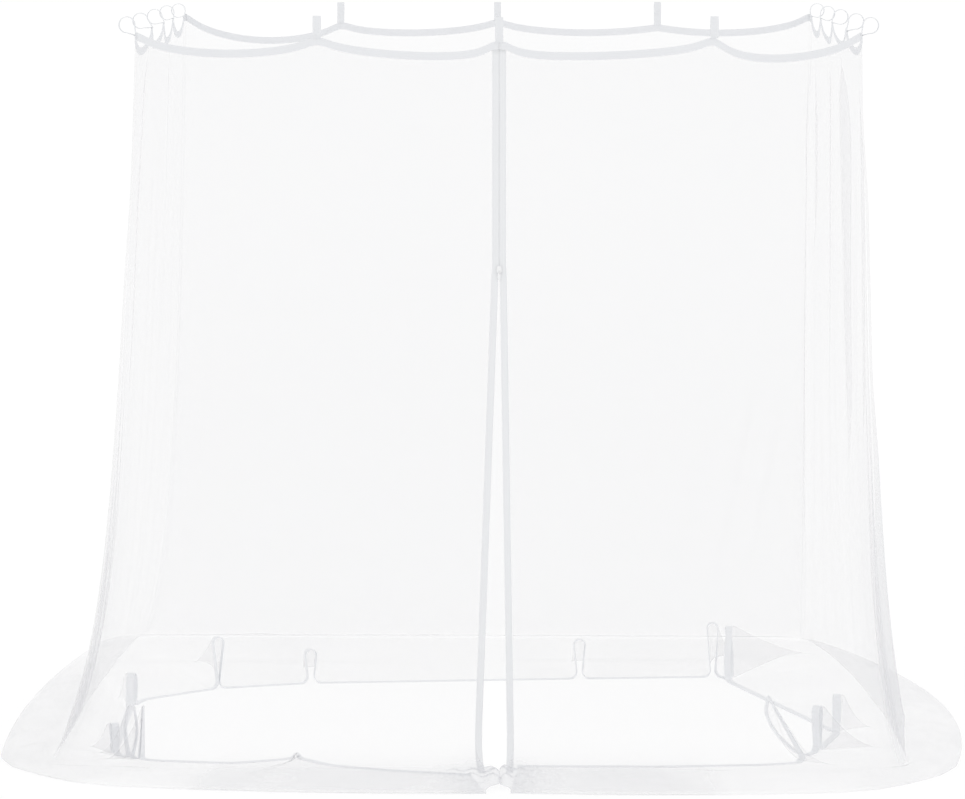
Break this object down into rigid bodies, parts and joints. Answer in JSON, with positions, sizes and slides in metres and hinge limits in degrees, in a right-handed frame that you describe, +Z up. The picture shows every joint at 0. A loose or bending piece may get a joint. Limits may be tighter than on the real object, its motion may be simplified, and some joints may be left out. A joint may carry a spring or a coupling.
{
  "type": "gazebo mosquito net",
  "caption": "Square, open-topped room of sheer white net, hung by tape loops from its scalloped top edge, with a zipped front door and spare length lying folded on the floor.",
  "frame": {"origin": "on the floor, at the middle of the net's outer box", "axes": "+Z up, -Y out of the door, +X to the right of someone facing the door from outside"},
  "size_m": [2.7574, 2.4556, 2.0623],
  "materials": {
    "net": "sheer mesh",
    "tape": "woven, matt",
    "zip": "woven, matt",
    "metal": "satin"
  },
  "bodies": {
    "root": {"net_front_left": "net", "net_front_right": "net", "net_right": "net", "net_back": "net", "net_left": "net", "top_tape_front_left": "tape", "top_tape_front_right": "tape", "top_tape_right": "tape", "top_tape_back": "tape", "top_tape_left": "tape", "hem_tape_front_left": "tape", "hem_tape_front_right": "tape", "hem_tape_right": "tape", "hem_tape_back": "tape", "hem_tape_left": "tape", "loop_front_1": "tape", "loop_front_2": "tape", "loop_front_3": "tape", "loop_right_1": "tape", "loop_right_2": "tape", "loop_right_3": "tape", "loop_right_4": "tape", "loop_right_5": "tape", "loop_back_1": "tape", "loop_back_2": "tape", "loop_back_3": "tape", "loop_left_1": "tape", "loop_left_2": "tape", "loop_left_3": "tape", "loop_left_4": "tape", "loop_left_5": "tape", "zip_half_left": "zip", "zip_half_right": "zip", "zip_slider": "metal", "zip_puller": "metal"}
  },
  "joints": []
}
